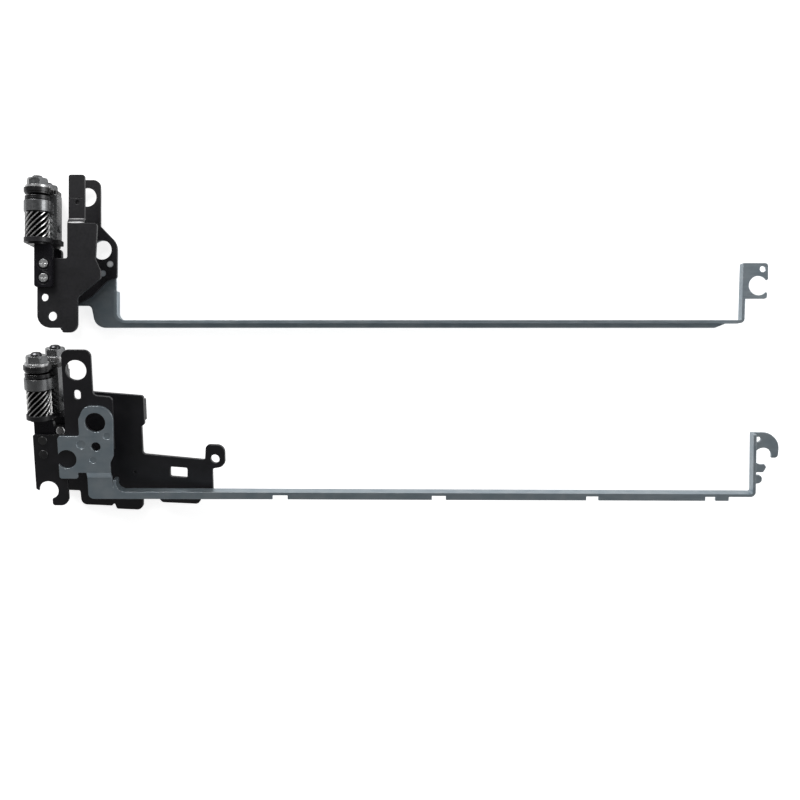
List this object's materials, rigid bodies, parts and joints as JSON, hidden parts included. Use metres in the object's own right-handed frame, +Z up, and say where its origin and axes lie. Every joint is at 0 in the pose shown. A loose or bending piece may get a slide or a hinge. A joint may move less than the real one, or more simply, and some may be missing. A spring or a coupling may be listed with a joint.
{
  "type": "laptop hinge pair",
  "caption": "Pair of friction hinges for a folding laptop: twin shafts with helical gears in a link, stamped brackets and long bars with hooked ends.",
  "frame": {"origin": "centre of the pair's outline on the table", "axes": "+X along the bars towards their hooked ends, +Y along the shafts of the right hinge towards its nuts, +Z up from the table"},
  "size_m": [0.198, 0.0882, 0.0209],
  "materials": {
    "black_steel": "black coated sheet steel, satin",
    "zinc_steel": "zinc plated sheet steel",
    "dark_steel": "oiled dark steel",
    "grey_steel": "sintered grey steel",
    "bright_steel": "bright plated steel"
  },
  "bodies": {
    "base": {"right_base_bracket": "black_steel", "right_base_shaft": "dark_steel", "right_base_rivets": "bright_steel", "right_base_springs": "dark_steel", "right_base_washer": "bright_steel", "right_base_nut": "grey_steel", "left_base_bracket": "black_steel", "left_base_shaft": "dark_steel", "left_base_rivets": "bright_steel", "left_base_springs": "dark_steel", "left_base_washer": "bright_steel", "left_base_nut": "grey_steel"},
    "right_link": {"right_inner_plate": "black_steel", "right_end_plate": "dark_steel", "right_gear_housing": "grey_steel", "right_cross_pin": "grey_steel"},
    "right_display": {"right_display_bracket": "black_steel", "right_display_bar": "zinc_steel", "right_display_shaft": "dark_steel", "right_display_rivets": "black_steel", "right_display_springs": "dark_steel", "right_display_washer": "bright_steel", "right_display_nut": "grey_steel"},
    "right_cross": {"right_cross_gear": "dark_steel"},
    "left_link": {"left_inner_plate": "black_steel", "left_end_plate": "dark_steel", "left_gear_housing": "grey_steel", "left_cross_pin": "grey_steel"},
    "left_display": {"left_display_bracket": "black_steel", "left_display_bar": "zinc_steel", "left_display_shaft": "dark_steel", "left_display_rivets": "black_steel", "left_display_springs": "dark_steel", "left_display_washer": "bright_steel", "left_display_nut": "grey_steel"},
    "left_cross": {"left_cross_gear": "dark_steel"}
  },
  "joints": [
    {"name": "right_base_hinge", "type": "hinge", "parent": "base", "child": "right_link", "pos_m": [-0.09508, 0.03024, 0.01319], "axis": [0, 1, 0], "range_deg": [0, 180]},
    {"name": "right_display_hinge", "type": "hinge", "parent": "right_link", "child": "right_display", "pos_m": [-0.09558, 0.03024, 0.0034], "axis": [0, 1, 0], "range_deg": [0, 180]},
    {"name": "right_cross_spin", "type": "hinge", "parent": "right_link", "child": "right_cross", "pos_m": [-0.09533, 0.03024, 0.00829], "axis": [0.9987, 0, -0.0509], "range_deg": [-240.5, 0]},
    {"name": "left_base_hinge", "type": "hinge", "parent": "base", "child": "left_link", "pos_m": [-0.09204, -0.01289, 0.00596], "axis": [-0.0144, -0.9702, -0.2419], "range_deg": [0, 183.5]},
    {"name": "left_display_hinge", "type": "hinge", "parent": "left_link", "child": "left_display", "pos_m": [-0.09391, -0.01519, 0.0153], "axis": [-0.0144, -0.9702, -0.2419], "range_deg": [0, 183.5]},
    {"name": "left_cross_spin", "type": "hinge", "parent": "left_link", "child": "left_cross", "pos_m": [-0.09298, -0.01404, 0.01063], "axis": [0.9815, -0.0599, 0.1818], "range_deg": [-245.2, 0]}
  ],
  "couplings": [
    {"joint": "right_display_hinge", "follows": "right_base_hinge", "ratio": 1},
    {"joint": "right_cross_spin", "follows": "right_base_hinge", "ratio": -1.3333},
    {"joint": "left_display_hinge", "follows": "left_base_hinge", "ratio": 1},
    {"joint": "left_cross_spin", "follows": "left_base_hinge", "ratio": -1.3333}
  ]
}
